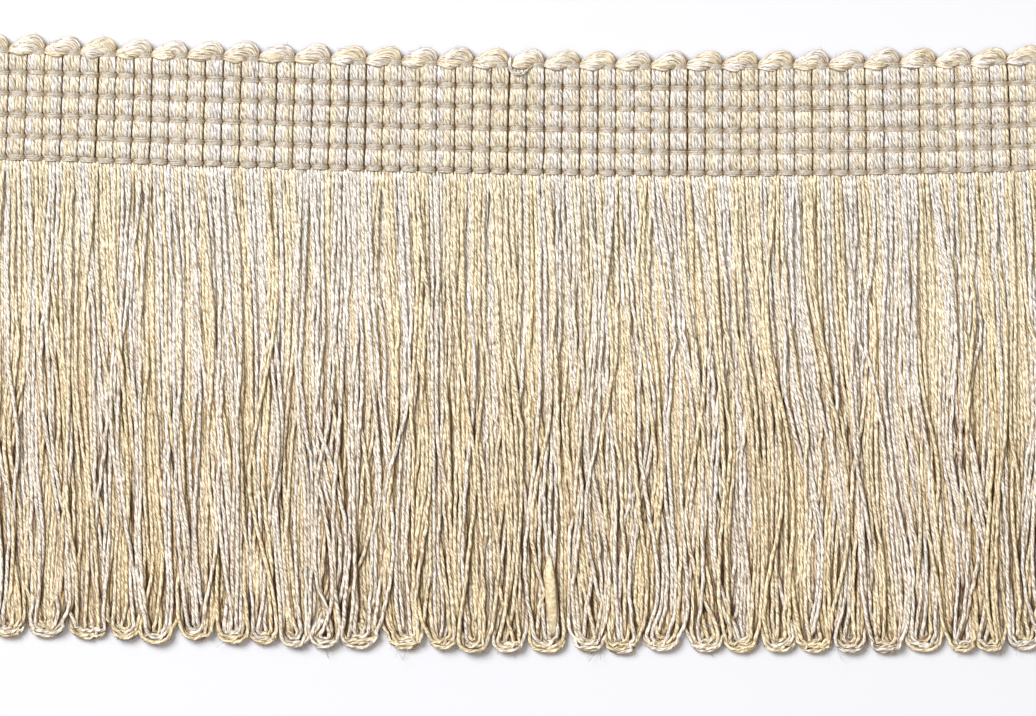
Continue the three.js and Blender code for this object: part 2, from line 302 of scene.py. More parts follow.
class Strands:
    """Yarns gathered into one mesh of tubes, which carry their twist in a map."""

    def __init__(self, name):
        self.name = name
        self.lines = []
        self.tubes = []

    def add(self, line, radius, warmth, tone, over=0.0, under=0.0, sides=SIDES, pitch=PLY_PITCH,
            flatness=1.0):
        """line is the yarn's path; radius, warmth, over and under are one number or one a point.

        over and under are how much other yarn lies above and below it, from which shade is painted on
        its section.
        """
        ahead = unit(np.gradient(line, axis=0))
        side = unit(np.cross([0.0, 0.0, 1.0], ahead))
        up = np.cross(ahead, side)
        gone = distances_along(line)
        corner = 2 * math.pi * np.arange(sides) / sides
        uneven = sum(reach * np.sin(gone / length + turn * tone) for reach, length, turn in TWIST_WAVES)
        twist = (gone + uneven * PLY_PITCH) / pitch + tone
        radius, over, under, warmth = (
            np.broadcast_to(value, gone.shape)[:, None] for value in (radius, over, under, warmth)
        )
        ring = (
            line[:, None, :]
            + (radius * np.cos(corner))[..., None] * side[:, None, :]
            + (flatness * radius * np.sin(corner))[..., None] * up[:, None, :]
        )
        above = ring[..., 2] - line[:, None, 2]
        crest = flatness * radius
        # Painted shade on each point of the section: darker where other yarn lies over or under it.
        painted_shade = np.minimum(over + crest - above, under + crest + above)
        self.lines.append((line, radius[:, 0]))
        shade = np.clip(painted_shade / FULL_SHADE_DEPTH, 0.0, 1.0)
        self.tubes.append((ring, gone, twist, shade, warmth[:, 0], tone))

    def piece(self, material):
        """The mesh object, with the yarns' own map, a map for baking, their colours and their painted
        shade.
        """
        points, corners, sizes, yarn_map, bake_map = [], [], [], [], []
        warmths, tones, painted_shade = [], [], []
        first = 0
        longest = max(gone[-1] for _, gone, *_ in self.tubes)
        lane = 1.0 / len(self.tubes)
        for number, (ring, gone, twist, shade, warmth, tone) in enumerate(self.tubes):
            count, sides = ring.shape[:2]
            points.append(ring.reshape(-1, 3))
            warmths.append(np.repeat(warmth, sides))
            tones.append(np.full(count * sides, tone))
            painted_shade.append(shade.ravel())
            i, j = np.meshgrid(np.arange(count - 1), np.arange(sides), indexing="ij")
            i, j = i.ravel(), j.ravel()
            around = np.stack([j, j + 1, j + 1, j], axis=1)
            rows = np.stack([i, i, i + 1, i + 1], axis=1)
            corners.append((first + rows * sides + around % sides).ravel())
            sizes.append(np.full(len(i), 4))
            ply = around / sides + twist[rows]
            yarn_map.append(np.stack([ply, gone[rows]], axis=-1).reshape(-1, 2))
            across = (number + LANE_MARGIN + LANE_WIDTH * around / sides) * lane
            high = LANE_HEIGHT * gone[rows] / longest
            bake_map.append(np.stack([across, high], axis=-1).reshape(-1, 2))
            for row, order in ((0, np.arange(sides)[::-1]), (count - 1, np.arange(sides))):
                corners.append(first + row * sides + order)
                sizes.append(np.array([sides]))
                ends = np.full(sides, gone[row])
                yarn_map.append(np.stack([order / sides + twist[row], ends], axis=-1))
                turn = 2 * math.pi * order / sides
                across = (number + 0.5 + LANE_CAP[0] * np.cos(turn)) * lane
                high = LANE_HEIGHT * gone[row] / longest + LANE_CAP[1] * np.sin(turn)
                bake_map.append(np.stack([across, np.clip(high, 0.0, 1.0)], axis=-1))
            first += count * sides
        return mesh_piece(
            self.name, points, corners, sizes, {"yarn": yarn_map, "OFBake": bake_map},
            {"warmth": warmths, "tone": tones, "painted_shade": painted_shade}, material,
        )


def in_scene(name, data):
    thing = bpy.data.objects.new(name, data)
    bpy.context.scene.collection.objects.link(thing)
    return thing


def mesh_piece(name, points, corners, sizes, maps, values, material):
    """A smooth mesh object from points in millimetres and its faces' corners and sizes.

    All these, and what the maps and values hold, are lists of arrays that are joined here.
    """
    points, corners, sizes = (np.concatenate(arrays) for arrays in (points, corners, sizes))
    mesh = bpy.data.meshes.new(name)
    mesh.vertices.add(len(points))
    mesh.vertices.foreach_set("co", (points * MM).ravel())
    mesh.loops.add(len(corners))
    mesh.loops.foreach_set("vertex_index", corners.astype(np.int32))
    mesh.polygons.add(len(sizes))
    starts = np.concatenate([[0], np.cumsum(sizes)[:-1]])
    mesh.polygons.foreach_set("loop_start", starts.astype(np.int32))
    mesh.update(calc_edges=True)
    for map_name, places in maps.items():
        layer = mesh.uv_layers.new(name=map_name)
        layer.uv.foreach_set("vector", np.concatenate(places).astype(np.float32).ravel())
    for value_name, numbers in values.items():
        attribute = mesh.attributes.new(value_name, "FLOAT", "POINT")
        attribute.data.foreach_set("value", np.concatenate(numbers).astype(np.float32))
    mesh.shade_smooth()
    mesh.materials.append(material)
    return in_scene(name, mesh)


# Materials

def linear(red, green, blue):
    """A colour for a shader from its 0 to 255 screen values."""
    values = [value / 255 for value in (red, green, blue)]
    return [v / 12.92 if v <= 0.04045 else ((v + 0.055) / 1.055) ** 2.4 for v in values] + [1.0]


SILVER_DARK = linear(164, 150, 139)
SILVER_LIGHT = linear(250, 245, 241)
GOLD_DARK = linear(177, 149, 100)
GOLD_LIGHT = linear(250, 237, 201)
TAUPE_DARK = linear(134, 124, 111)
TAUPE_LIGHT = linear(202, 193, 180)
# A dark sheet's colours, painted as the shade in the gaps between the yarns.
GAP_SHADE_DARK = linear(62, 42, 24)
GAP_SHADE_LIGHT = linear(100, 74, 46)
# Painted shade in the grooves between the plies.
PLY_GAP_SHADE_TINT = linear(92, 66, 10)
# The next two tints are painted shade: they brown and darken yarn where other yarn covers it.
SHADE_TINT = linear(240, 217, 174)
DEEP_SHADE_TINT = linear(98, 54, 2)


class Nodes:
    """A new material's node tree, with short ways to add and join its nodes."""

    def __init__(self, name):
        self.material = bpy.data.materials.new(name)
        self.material.use_nodes = True
        self.tree = self.material.node_tree
        self.shader = self.tree.nodes["Principled BSDF"]

    def join(self, source, target):
        """Feeds the target from a number, a colour or another node's output."""
        if isinstance(source, (int, float, list, tuple)):
            target.default_value = source
        else:
            self.tree.links.new(source, target)

    def add(self, kind, *sources):
        """A new node, with its first inputs fed in their order."""
        node = self.tree.nodes.new(kind)
        for source, target in zip(sources, node.inputs):
            self.join(source, target)
        return node

    def shade(self, name, source):
        self.join(source, self.shader.inputs[name])

    def value(self, name):
        node = self.add("ShaderNodeAttribute")
        node.attribute_name = name
        return node.outputs["Fac"]

    def math(self, operation, *sources):
        node = self.add("ShaderNodeMath", *sources)
        node.operation = operation
        return node.outputs[0]

    def times(self, a, b):
        return self.math("MULTIPLY", a, b)

    def mix(self, share, a, b, blend="MIX"):
        node = self.add("ShaderNodeMix")
        node.data_type = "RGBA"
        node.blend_type = blend
        for source, name in ((share, "Factor"), (a, "A"), (b, "B")):
            self.join(source, node.inputs[name])
        return node.outputs["Result"]

    def shaded(self, colour, amount):
        """The colour scaled by an amount, with painted shade: browner and darker where other yarn
        covers the yarn.
        """
        scaled = self.add("ShaderNodeVectorMath", colour)
        scaled.operation = "SCALE"
        self.join(amount, scaled.inputs["Scale"])
        # Painted shade: a warm brown tint, then a deep brown one where the yarn lies deeper under other
        # yarn.
        shade_amount = self.value("painted_shade")
        warm_shaded = self.mix(shade_amount, scaled.outputs[0], SHADE_TINT, "MULTIPLY")
        return self.mix(self.math("POWER", shade_amount, 2.2), warm_shaded, DEEP_SHADE_TINT, "MULTIPLY")

    def map_parts(self, name):
        node = self.add("ShaderNodeUVMap")
        node.uv_map = name
        parts = self.add("ShaderNodeSeparateXYZ", node.outputs["UV"])
        return parts.outputs["X"], parts.outputs["Y"]

    def noise(self, x, y, z, detail=2.0):
        place = self.add("ShaderNodeCombineXYZ", x, y, z)
        node = self.add("ShaderNodeTexNoise", place.outputs[0])
        node.inputs["Scale"].default_value = 1.0
        node.inputs["Detail"].default_value = detail
        return node.outputs["Fac"]

    def remap(self, value, low, high, to_low, to_high):
        node = self.add("ShaderNodeMapRange", value, low, high, to_low, to_high)
        return node.outputs["Result"]

    def bump(self, height, distance):
        node = self.add("ShaderNodeBump")
        node.inputs["Distance"].default_value = distance
        self.join(height, node.inputs["Height"])
        self.shade("Normal", node.outputs["Normal"])


def yarn_material(name, brightness, dye, fleck, softness):
    """Two-ply yarn: warm or cool fibres in light and dark streaks, with painted shade where the plies
    meet.

    fleck is how many light and dark places a streak has in a millimetre, and softness is how
    gently light and dark meet.
    """
    nodes = Nodes(name)
    around, along = nodes.map_parts("yarn")
    warmth = nodes.times(nodes.value("warmth"), dye)
    tone = nodes.value("tone")
    seed = nodes.times(tone, 97.0)
    streaks = nodes.noise(nodes.times(around, 8.0), nodes.times(along, fleck), seed, 4.0)
    patches = nodes.noise(0.0, nodes.times(along, 0.16), seed)
    slack = nodes.noise(3.0, nodes.times(along, 0.45), seed)
    crest = nodes.math("COSINE", nodes.times(around, 4 * math.pi))
    half_light = 0.465
    # Light and dark streaks: partly the fibres' own tone, partly painted highlight and shade along the
    # plies.
    light = nodes.remap(streaks, half_light - softness / 2, half_light + softness / 2, 0.0, 1.0)
    silver = nodes.mix(light, SILVER_DARK, SILVER_LIGHT)
    gold = nodes.mix(light, GOLD_DARK, GOLD_LIGHT)
    colour = nodes.mix(warmth, silver, gold)
    # Painted shade where the plies meet, browned by the groove tint; the same crest also drives the
    # bump.
    darkest_ply_gap = nodes.remap(slack, 0.35, 0.6, 0.3 + softness, 0.85 + softness / 2)
    ply_gap_shade = nodes.remap(crest, -1.0, -0.3, darkest_ply_gap, 1.0)
    colour = nodes.mix(nodes.math("SUBTRACT", 1.0, ply_gap_shade), colour, PLY_GAP_SHADE_TINT, "MULTIPLY")
    by_tone = nodes.remap(tone, 0.0, 1.0, 0.94 * brightness, 1.03 * brightness)
    shade = nodes.times(nodes.remap(patches, 0.3, 0.7, 0.93, 1.03), by_tone)
    nodes.shade("Base Color", nodes.shaded(colour, shade))
    nodes.shade("Roughness", nodes.remap(streaks, 0.3, 0.7, 0.55, 0.32))
    height = nodes.math("MULTIPLY_ADD", crest, 0.5, nodes.times(streaks, 1.2))
    nodes.bump(height, 0.00015)
    nodes.shade("Sheen Weight", 0.2)
    nodes.shade("Sheen Roughness", 0.4)
    return nodes.material


def warp_material():
    """Fine taupe thread with a close twist, with painted shade where it dips between the bundles."""
    nodes = Nodes("warp thread")
    around, along = nodes.map_parts("yarn")
    seed = nodes.times(nodes.value("tone"), 97.0)
    streaks = nodes.noise(nodes.times(around, 7.0), nodes.times(along, 1.3), seed, 3.0)
    colour = nodes.mix(nodes.remap(streaks, 0.36, 0.6, 0.0, 1.0), TAUPE_DARK, TAUPE_LIGHT)
    nodes.shade("Base Color", nodes.shaded(colour, 1.0))
    nodes.shade("Roughness", nodes.remap(streaks, 0.3, 0.7, 0.6, 0.4))
    nodes.bump(streaks, 0.00004)
    nodes.shade("Sheen Weight", 0.15)
    return nodes.material


def gap_shade_material():
    """Painted shade in the gaps of the heading: a dark brown sheet with a faint grain, seen only as
    dark lines between the yarns.
    """
    nodes = Nodes("painted gap shade")
    across, along = nodes.map_parts("cloth")
    grain = nodes.noise(nodes.times(across, 2.5), nodes.times(along, 6.0), 0.0, 4.0)
    colour = nodes.mix(nodes.remap(grain, 0.3, 0.7, 0.0, 1.0), GAP_SHADE_DARK, GAP_SHADE_LIGHT)
    nodes.shade("Base Color", colour)
    nodes.shade("Roughness", 0.85)
    nodes.bump(grain, 0.0001)
    return nodes.material


def floor_material():
    nodes = Nodes("pale floor")
    place = nodes.add("ShaderNodeTexCoord").outputs["Object"]
    parts = nodes.add("ShaderNodeSeparateXYZ", place)
    cloud = nodes.noise(parts.outputs["X"], parts.outputs["Y"], 0.0)
    colour = nodes.mix(cloud, linear(212, 212, 217), linear(214, 214, 219))
    nodes.shade("Base Color", colour)
    nodes.shade("Roughness", 0.9)
    return nodes.material


# The bundles: which yarn lies in which slot of each column

def slot_orders():
    """For each column, the slot of each yarn. The first slots are in front, the rest behind.

    Yarns of one colour keep together: the gold ones lie on one side of most columns, and they
    lead in some stretches of the trim and fall back in others.
    """
    orders = np.empty((COLUMNS, SLOTS), int)
    patches = chance(PATCHINESS, COLUMNS // PATCH_COLUMNS + 2)
    leading = np.interp(np.arange(COLUMNS) / PATCH_COLUMNS, np.arange(len(patches)), patches)
    gold_side = 1
    for column in range(COLUMNS):
        gold_side *= -1 if random.uniform() < MIRRORED_COLUMNS else 1
        forward = (leading[column] + chance(COLUMN_CHANCE)) * IS_GOLD
        forward = forward + chance(DEPTH_MIXING, SLOTS)
        across = gold_side * SIDE_PULL * IS_GOLD + chance(COLOUR_MIXING, SLOTS)
        by_depth = np.argsort(-forward)
        front, back = by_depth[:FRONT_SLOTS], by_depth[FRONT_SLOTS:]
        orders[column, front[np.argsort(across[front])]] = np.arange(FRONT_SLOTS)
        orders[column, back[np.argsort(across[back])]] = np.arange(FRONT_SLOTS, SLOTS)
    return orders


def slot_offset(slot):
    return np.array(FRONT_OFFSETS + BACK_OFFSETS)[slot]


def yarn_tones():
    """Each yarn's own shade and its start in every pattern, from 0 to 1."""
    return random.uniform(0.0, 1.0, SLOTS)


def warmth_of(yarn):
    """A yarn's warmth: no two dyed yarns are quite alike."""
    return random.uniform(*(GOLD_WARMTHS if IS_GOLD[yarn] else SILVER_WARMTHS))


def more_golden_at_ends(warmth, line):
    """A fringe yarn's warmth at each point: a little more golden towards the loop ends."""
    lowness = (HEADING_BOTTOM - line[:, 1]) / FRINGE_DROP
    return warmth + END_WARMTH * np.clip(lowness, 0.0, 1.0) ** 5


# The heading

def band_middles():
    return HEADING_BOTTOM + BAND_HEIGHT / 2 + BAND_SHIFT + ROW_PITCH * np.arange(BLOCK_ROWS + 1)


def heading_rings():
    """Where the rings of a front yarn lie up the heading, the same in every row, from the top."""
    rings = (band_middles()[:, None] + np.array(RING_OFFSETS)[None, :]).ravel()
    bottom_margin, top_margin = 0.3, 0.2
    inside = (rings > HEADING_BOTTOM + bottom_margin) & (rings < HEADING_TOP - top_margin)
    return np.sort(rings[inside])[::-1]


def block_rise(up):
    """0 where a band presses the yarns down, and 1 on the crest of a block."""
    held_down, slope_length = 0.24, 0.48
    from_band = np.abs(up[:, None] - band_middles()[None, :]).min(axis=1)
    return smooth_step((from_band - held_down) / slope_length)


def heading_weft(orders, tones):
    """The bundles: front yarns that puff up into blocks, and straight yarns behind them."""
    strands = Strands("heading_weft")
    front_up = heading_rings()
    rise = block_rise(front_up)
    back_up = np.linspace(HEADING_TOP - 0.2, HEADING_BOTTOM + 0.35, 12)
    wobbles = chance(EDGE_WOBBLE, (COLUMNS + 1, BLOCK_ROWS + 1))
    edges = [np.interp(front_up, band_middles(), wobble) for wobble in wobbles]
    outer_slots = (0, FRONT_SLOTS - 1)
    for column in range(COLUMNS):
        middle = column_middle(column)
        for yarn in range(SLOTS):
            slot = orders[column, yarn]
            offset = slot_offset(slot) + chance(0.04)
            tone = (tones[yarn] + 0.37 * column) % 1.0
            if slot >= FRONT_SLOTS:
                line = on_trim(middle + offset, back_up, BACK_ROW_HEIGHT)
                # The back row gets full painted shade on its front side; its back side stays clear.
                strands.add(line, BACK_RADIUS, warmth_of(yarn), tone, 1.0, sides=5)
                continue
            outer = slot in outer_slots
            crest = BLOCK_CREST - BLOCK_EDGE_DIP * outer - random.uniform(0.0, 0.08)
            height = BAND_PINCH + (crest - BAND_PINCH) * rise
            to_right = offset / COLUMN_PITCH + 0.5
            wobble = edges[column] * (1 - to_right) + edges[column + 1] * to_right
            across = middle + wobble + offset * (BAND_WIDTH + BLOCK_WIDENING * rise)
            # over sets painted shade: deeper where the yarn is pinched under a band.
            over = 0.5 * (crest - height) + (OPEN_SIDE_SHADE if outer else PRESSED_YARN_SHADE)
            strands.add(
                on_trim(across, front_up, height), BLOCK_RADIUS, warmth_of(yarn), tone, over,
                height - 0.5, pitch=TIGHT_PITCH, flatness=BLOCK_FLATNESS,
            )
    return strands


def scallops(tones):
    """The bundle comes from behind the left column, fans over the front and dives into the right."""
    strands = Strands("scallops")
    for scallop in range(SCALLOPS):
        left = -LENGTH / 2 + scallop * SCALLOP_WIDTH
        gold_high = random.choice((-1, 1)) * IS_GOLD
        places = ranks(gold_high + chance(0.5, SLOTS))
        rise = SCALLOP_RISE + chance(0.08)
        for yarn in range(SLOTS):
            share = places[yarn] / (SLOTS - 1)
            high = SCALLOP_FOOT + (rise - TIGHT_RADIUS - SCALLOP_FOOT) * share
            high += chance(0.06)
            over = 2.1 - 0.9 * share
            width = SCALLOP_WIDTH
            corners = (
                (-0.1, -0.5 + 0.45 * share, 0.8),
                ((0.08 + 0.14 * share) * width, 0.6 * high - 0.1, over + 0.35),
                ((0.42 + 0.52 * share) * width, 1.95 * high, over + 0.3),
                ((0.5 + 0.45 * share**0.6) * width, -0.75 + 0.55 * share, 0.9),
            )
            path = bezier(corners, 15)
            line = on_trim(left + path[:, 0], HEADING_TOP + path[:, 1], path[:, 2])
            tone = (tones[yarn] + 0.61 * scallop) % 1.0
            # Painted shade on the scallop's ends, where they tuck under the columns.
            tuck_shade = 0.35 * (1 - np.sin(np.linspace(0.0, math.pi, len(line)))) ** 2 - 0.04
            strands.add(line, TIGHT_RADIUS, warmth_of(yarn), tone, tuck_shade, pitch=SCALLOP_PITCH)
    loose_yarn(strands)
    return strands


def loose_yarn(strands):
    """One silver yarn of a scallop that has slipped out and sags over the block below it."""
    left = -LENGTH / 2 + LOOSE_SCALLOP * SCALLOP_WIDTH
    corners = ((0.1, 0.7, 1.9), (-0.6, -2.6, 2.5), (2.0, -2.9, 2.6), (3.6, -0.8, 1.7))
    path = bezier(corners, 21)
    line = on_trim(left + path[:, 0], HEADING_TOP + path[:, 1], path[:, 2])
    for radius, warmth, tone, shift in LOOSE_PLIES:
        strands.add(line + shift, radius, warmth, tone)


def warp_line(up, front, shift, tilts):
    """One warp thread along the whole trim: over or under every bundle, in between at the gaps."""
    per_column = 5 if front else 4
    cut_at = LENGTH / 2 + 1.0
    along = np.linspace(-cut_at, cut_at, COLUMNS * per_column + 5)
    in_column = (along + LENGTH / 2) / COLUMN_PITCH % 1.0
    arch = np.abs(np.sin(math.pi * in_column**1.3)) ** 0.5
    high = THREADS_CROSS_AT + (FRONT_ARCH if front else BACK_ARCH) * arch
    sag = 0.28 * shift * (arch - 0.7) + np.interp(along, column_middle(np.arange(COLUMNS)), tilts)
    return on_trim(along, up + shift + sag, high)


def heading_warp():
    """The bands: fine threads in front of the bundles, and two thicker ones behind."""
    strands = Strands("heading_warp")
    for band in band_middles():
        tilts = chance(0.05, COLUMNS)
        for shift in FRONT_THREADS:
            line = warp_line(band, True, shift, tilts + chance(0.04, COLUMNS))
            # Painted shade from over and under: darker where a thread dips between the bundles.
            over, under = line[:, 2].max() - line[:, 2] - 0.1, line[:, 2] - 0.3
            tone = random.uniform()
            strands.add(line, THREAD_RADIUS, 0.0, tone, over, under, sides=5, pitch=THREAD_PITCH)
        for shift in BACK_THREADS:
            line = warp_line(band, False, shift, tilts)
            # The back threads get full painted shade on their front side.
            over, under = 1.0, line[:, 2] - line[:, 2].min()
            tone = random.uniform()
            strands.add(line, BACK_THREAD_RADIUS, 0.0, tone, over, under, sides=4, pitch=THREAD_PITCH)
    return strands


def gap_shade_sheet(material):
    """A thin dark sheet inside the heading, on the trim's bow, that closes the gaps: painted shade,
    seen only as dark lines between the yarns.
    """
    thickness, low = 0.5, 0.62
    along = np.linspace(-LENGTH / 2, LENGTH / 2, 2 * COLUMNS + 1)
    up = np.linspace(HEADING_BOTTOM + 0.1, HEADING_TOP + 0.5, 13)
    grid_along, grid_up = np.meshgrid(along, up, indexing="ij")
    wave = 0.06 * np.cos(2 * math.pi * grid_along / COLUMN_PITCH)
    top = on_trim(grid_along, grid_up, low + thickness + wave).reshape(-1, 3)
    bottom = on_trim(grid_along, grid_up, low + wave).reshape(-1, 3)
    rows, columns = grid_along.shape
    number = np.arange(rows * columns).reshape(rows, columns)
    a, b = number[:-1, :-1].ravel(), number[1:, :-1].ravel()
    c, d = number[1:, 1:].ravel(), number[:-1, 1:].ravel()
    below = rows * columns
    faces = [np.stack([a, b, c, d], axis=1), below + np.stack([a, d, c, b], axis=1)]
    rim = np.concatenate([number[:, 0], number[-1, 1:], number[-2::-1, -1], number[0, -2:0:-1]])
    following = np.roll(rim, -1)
    faces.append(np.stack([following, rim, below + rim, below + following], axis=1))
    corners = np.concatenate(faces).ravel()
    flat = np.tile(np.stack([grid_along.ravel(), grid_up.ravel()], axis=1), (2, 1))
    sizes = [np.full(len(corners) // 4, 4)]
    return mesh_piece(
        "heading_gap_shade", [top, bottom], [corners], sizes, {"cloth": [flat[corners]]}, {}, material
    )


# The fringe

def sway(along, share):
    """How far the whole fringe leans aside at a place along it and a share of the way down."""
    moved = 0.0
    for reach, wavelength, drift, phase in SWAYS:
        moved = moved + reach * np.sin(2 * math.pi * along / wavelength + drift * share + phase)
    return np.sin(math.pi * share) * moved


def pushed_apart(across, up):
    """The share by which two yarns, wider than they are high, must part so as not to overlap."""
    apart = np.hypot(across / SETTLE_WIDTH, up / SETTLE_HEIGHT)
    return 0.5 * np.maximum(1 - apart, 0.0) / np.maximum(apart, 0.01)


def covering(across):
    """How fully one yarn covers another that lies this far beside it."""
    return np.clip((CLEAR_BEYOND - np.abs(across)) / (CLEAR_BEYOND - COVERS_WITHIN), 0.0, 1.0)


def own_rows(order, values):
    """Values that were put in order, back in the rows that they came from."""
    placed = np.empty_like(values)
    np.put_along_axis(placed, order, values, axis=0)
    return placed


class Fringe:
    """The fringe's yarns as lines of stations: down a left leg, round an arc, up a right leg.

    The legs are rows of one table: all left ones, all right ones, then the cut yarns. Each leg has
    a sideways place and a height at every station, and each arc has a distance from the loop's
    middle and a height.
    """

    def __init__(self, orders):
        self.loops = len(LOOPS)
        self.lean, drop, width = np.array(LOOPS).T
        root = column_middle(1.5 + 2 * np.arange(self.loops))
        self.centre_x = root + self.lean
        lowest = bow_rise(root) + HEADING_BOTTOM - FRINGE_DROP - drop
        self.reach = width / 2 - YARN_RADIUS + LOOP_FULLNESS
        between = (self.centre_x[1:] + self.centre_x[:-1]) / 2
        edges = np.concatenate([[self.centre_x[0] - 3.0], between, [self.centre_x[-1] + 3.0]])
        self.room = (self.centre_x - edges[:-1], edges[1:] - self.centre_x)
        self.centre_y = lowest + YARN_RADIUS + ARC_FLATNESS * self.reach
        self.yarns = self.loops * SLOTS
        self.share = np.linspace(0.0, 1.0, LEG_STATIONS)
        near_end = smooth_step((self.share - 0.88) / 0.1)
        self.closing = 0.4 * (1 - smooth_step((self.share - 0.93) / 0.06))
        by_root, by_end = WIDEST_GAPS
        self.widest = by_root + (by_end - by_root) * smooth_step((self.share - 0.3) / 0.5)
        self.pull = 0.02 + 0.12 * near_end
        self.bending = (STIFFNESS * (1 - END_STIFFNESS * near_end))[1:-1]
        self.place_legs(orders)
        self.place_arcs()

    def place_legs(self, orders):
        """Sets where each leg starts and ends, and the line that it would follow alone."""
        nests = self.nests(orders)
        self.nest = nests[:, 0].ravel()
        centre_x = self.centre_x[:, None]
        ends, wide_ends = [], []
        for side, outward in ((0, -1), (1, 1)):
            distance = INNER_LEG + (self.reach[:, None] - INNER_LEG) * nests[:, side]
            room = self.room[side][:, None] - LOOP_GAP / 2
            wide = INNER_WIDE_LEG + (room - INNER_WIDE_LEG) * nests[:, side]
            ends.append(centre_x + outward * distance)
            wide_ends.append(centre_x + outward * wide)
        looped = np.arange(1, COLUMNS - 1).reshape(self.loops, 2)
        columns = np.concatenate([looped[:, 0], looped[:, 1], [0, COLUMNS - 1]])
        slots = orders[columns]
        start_along = (column_middle(columns)[:, None] + slot_offset(slots)).ravel()
        self.in_front = slots.ravel() < FRONT_SLOTS
        cut = column_middle(columns[-2:])[:, None]
        cut_ends = cut + self.lean[[0, -1], None] + slot_offset(slots[-2:]) * 0.9
        cut_y = bow_rise(cut) + HEADING_BOTTOM - FRINGE_DROP + CUT_END_RISE
        cut_y = cut_y + random.uniform(0.0, CUT_END_CHANCE, (2, SLOTS))
        self.end_y = np.concatenate([np.tile(np.repeat(self.centre_y, SLOTS), 2), cut_y.ravel()])
        root = on_trim(start_along, HEADING_BOTTOM + BAND_HEIGHT / 2, 0.0)
        self.root_y = root[:, 1]
        wide_x = np.concatenate(wide_ends + [cut_ends]).reshape(-1, 1)
        line = root[:, :1] + (wide_x - root[:, :1]) * self.share
        line = line + sway(start_along[:, None], self.share)
        self.wander(line, np.concatenate(ends + [cut_ends]).reshape(-1, 1) - wide_x)

    def nests(self, orders):
        """How far out the yarns of each loop lie in it, from 0 to 1, left and right."""
        nests = []
        for loop in range(self.loops):
            outward = slot_offset(orders[2 * loop + 2]) - slot_offset(orders[2 * loop + 1])
            places = ranks(outward + chance(0.7, SLOTS))
            swapped = ranks(places + chance(1.1, SLOTS))
            nests.append((places, swapped))
        return np.array(nests) / (SLOTS - 1)

    def wander(self, line, to_end):
        """Lets the legs wander, draws them in to the loops' ends, and lifts them off the floor."""
        share, rows = self.share, np.arange(len(line))
        loose = 0.25 + 0.75 * share
        group = 2 * (rows // SLOTS) + IS_GOLD[rows % SLOTS]
        for spreads, members in ((WANDER, rows), (GROUP_WANDER, group)):
            for wave, spread in enumerate(spreads, start=1):
                swing = chance(spread, members.max() + 1)[members][:, None]
                line += swing * loose * np.sin(wave * math.pi * share**1.2)
        strays = np.arange(STRAYS) * 2 * self.yarns // STRAYS + random.integers(0, SLOTS, STRAYS)
        far = random.uniform(*STRAY_REACH, (STRAYS, 1)) * random.choice((-1, 1), (STRAYS, 1))
        skew = random.uniform(*STRAY_SKEW, (STRAYS, 1))
        line[strays] += far * np.sin(math.pi * share**skew) ** 2
        gather = np.repeat(random.uniform(*GATHERED_FROM, len(line) // SLOTS), SLOTS)[:, None]
        line += to_end * smooth_step((share - gather) / (1 - gather))
        self.aim = line
        self.x = line.copy()
        lift = random.uniform(0.0, 1.2, group.max() + 1)[group][:, None]
        self.z = np.where(self.in_front, 1.5, 0.6)[:, None] + lift * share
        self.z = self.z + random.uniform(0.0, 1.0, (len(line), 1)) * np.sin(math.pi * share)
        self.z[strays] += STRAY_LIFT * np.sin(math.pi * share)

    def place_arcs(self):
        """Sets where each arc starts, between the ends of its two legs."""
        loop = np.arange(self.yarns) // SLOTS
        ends = self.x[: 2 * self.yarns, -1].reshape(2, self.yarns)
        left, right = np.abs(ends - self.centre_x[loop])
        share = np.arange(1, ARC_STATIONS + 1) / (ARC_STATIONS + 1)
        across = smooth_step(share)
        self.arc = left[:, None] * (1 - across) + right[:, None] * across
        mixed = self.nest.reshape(self.loops, SLOTS) + chance(0.35, (self.loops, SLOTS))
        lowness = ranks(mixed).ravel() / (SLOTS - 1)
        foot = (self.reach[loop] * (0.55 + 0.45 * lowness))[:, None]
        self.arc += (foot - self.arc) * np.sin(math.pi * share) ** 2
        self.arc_z = np.broadcast_to(0.5 + 2.2 * self.nest[:, None], self.arc.shape).copy()

    def legs_in_order(self):
        """The legs' order from left to right at each station, and their places and heights in it."""
        order = np.argsort(self.x, axis=0)
        x, z = (np.take_along_axis(values, order, axis=0) for values in (self.x, self.z))
        return order, x, z

    def spread_legs(self):
        """Pushes apart the legs that lie in each other, at each station."""
        order, x, z = self.legs_in_order()
        move_x, move_z = np.zeros_like(x), np.zeros_like(z)
        for step in NEIGHBOURS:
            dx = x[step:] - x[:-step]
            dz = z[step:] - z[:-step] + 1e-4
            push = pushed_apart(dx, dz)
            for move, way in ((move_x, push * dx), (move_z, push * dz)):
                move[step:] += way
                move[:-step] -= way
        gaps = np.maximum(x[1:] - x[:-1] - self.widest, 0.0) * self.closing
        move_x[1:] -= gaps
        move_x[:-1] += gaps
        self.x = own_rows(order, x + 0.6 * move_x)
        self.z = own_rows(order, z + 0.6 * move_z)

    def spread_arcs(self):
        """The same for the arcs, among the yarns of one loop."""
        shape = (self.loops, SLOTS, ARC_STATIONS)
        distance, height = self.arc.reshape(shape), self.arc_z.reshape(shape)
        across = distance[:, :, None] - distance[:, None, :]
        up = height[:, :, None] - height[:, None, :]
        push = pushed_apart(across, up)
        self.arc = self.arc + 0.3 * (push * across).sum(axis=2).reshape(self.arc.shape)
        self.arc_z = self.arc_z + 0.5 * (push * up).sum(axis=2).reshape(self.arc.shape)
        widest = np.repeat(self.reach, SLOTS)[:, None]
        self.arc = np.clip(self.arc, 0.2, widest)

